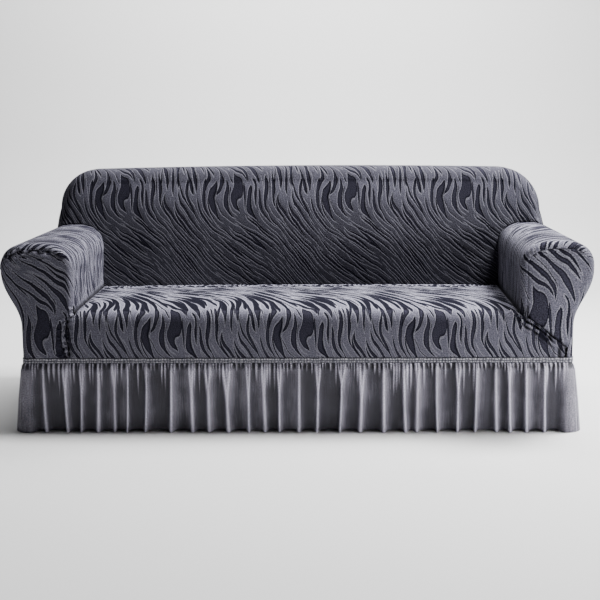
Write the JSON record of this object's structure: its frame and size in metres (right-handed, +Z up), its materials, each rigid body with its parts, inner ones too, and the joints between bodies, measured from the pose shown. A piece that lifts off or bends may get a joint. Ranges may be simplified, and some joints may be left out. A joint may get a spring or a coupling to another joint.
{
  "type": "sofa slipcover",
  "caption": "Fitted stretch slipcover for a three-seat sofa with rolled arms, in striped jacquard with a ribbed band and a gathered skirt; hollow, open at the hem.",
  "frame": {"origin": "on the floor under the middle of the cover", "axes": "+X towards the arm on the right as one looks at the front, +Y towards the back, +Z up"},
  "size_m": [2.118, 0.9528, 0.9219],
  "materials": {
    "jacquard": "matt two-tone stretch jacquard, dark stripes in a grey ground",
    "band": "ribbed casing in plain grey cloth",
    "skirt": "plain grey cloth with a slight sheen"
  },
  "bodies": {
    "root": {"seat_panel": "jacquard", "arm_left": "jacquard", "arm_right": "jacquard", "arm_front_left": "jacquard", "arm_front_right": "jacquard", "inside_back": "jacquard", "outside_back": "jacquard", "band_front": "band", "band_right": "band", "band_back": "band", "band_left": "band", "skirt_front": "skirt", "skirt_right": "skirt", "skirt_back": "skirt", "skirt_left": "skirt"}
  },
  "joints": []
}
